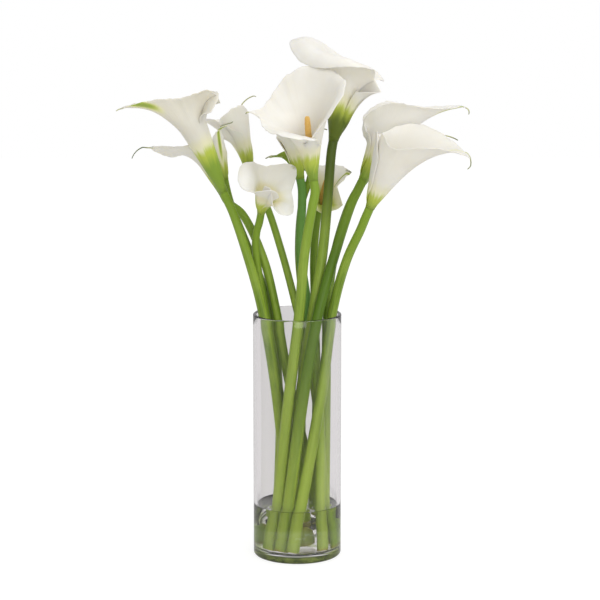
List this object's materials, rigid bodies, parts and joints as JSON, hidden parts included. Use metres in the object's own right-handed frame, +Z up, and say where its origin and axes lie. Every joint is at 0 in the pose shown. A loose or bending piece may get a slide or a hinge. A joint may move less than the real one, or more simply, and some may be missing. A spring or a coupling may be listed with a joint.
{
  "type": "bunch of calla lilies in a vase",
  "caption": "Bunch of white calla lilies and one bud, leaning against the rim of a clear glass cylinder vase with some water in its foot.",
  "frame": {"origin": "centre of the vase's underside", "axes": "+Z up along the vase, +X to the right and +Y away from the front, where the large open flower faces"},
  "size_m": [0.3888, 0.1898, 0.5878],
  "materials": {
    "vase_glass": "clear, polished",
    "water": "clear",
    "stem": "satin, fleshy",
    "dark_stem": "satin, fleshy",
    "bluish_stem": "satin, fleshy",
    "spathe": "soft, waxy",
    "spadix": "mealy"
  },
  "bodies": {
    "root": {"vase": "vase_glass", "water": "water", "left_high_stem": "stem", "left_high_spathe": "spathe", "left_high_spadix": "spadix", "left_low_stem": "stem", "left_low_spathe": "spathe", "left_low_spadix": "spadix", "left_back_stem": "stem", "left_back_spathe": "spathe", "left_back_spadix": "spadix", "left_middle_stem": "stem", "left_middle_spathe": "spathe", "left_middle_spadix": "spadix", "centre_front_stem": "stem", "centre_front_spathe": "spathe", "centre_front_spadix": "spadix", "centre_top_stem": "dark_stem", "centre_top_spathe": "spathe", "centre_top_spadix": "spadix", "centre_small_stem": "stem", "centre_small_spathe": "spathe", "centre_small_spadix": "spadix", "centre_back_stem": "bluish_stem", "centre_back_spathe": "spathe", "centre_back_spadix": "spadix", "centre_right_stem": "stem", "centre_right_spathe": "spathe", "centre_right_spadix": "spadix", "right_high_stem": "stem", "right_high_spathe": "spathe", "right_high_spadix": "spadix", "right_front_stem": "stem", "right_front_spathe": "spathe", "right_front_spadix": "spadix", "right_back_stem": "stem", "right_back_spathe": "spathe", "right_back_spadix": "spadix", "centre_bud_stem": "stem", "centre_bud_spathe": "spathe"}
  },
  "joints": []
}
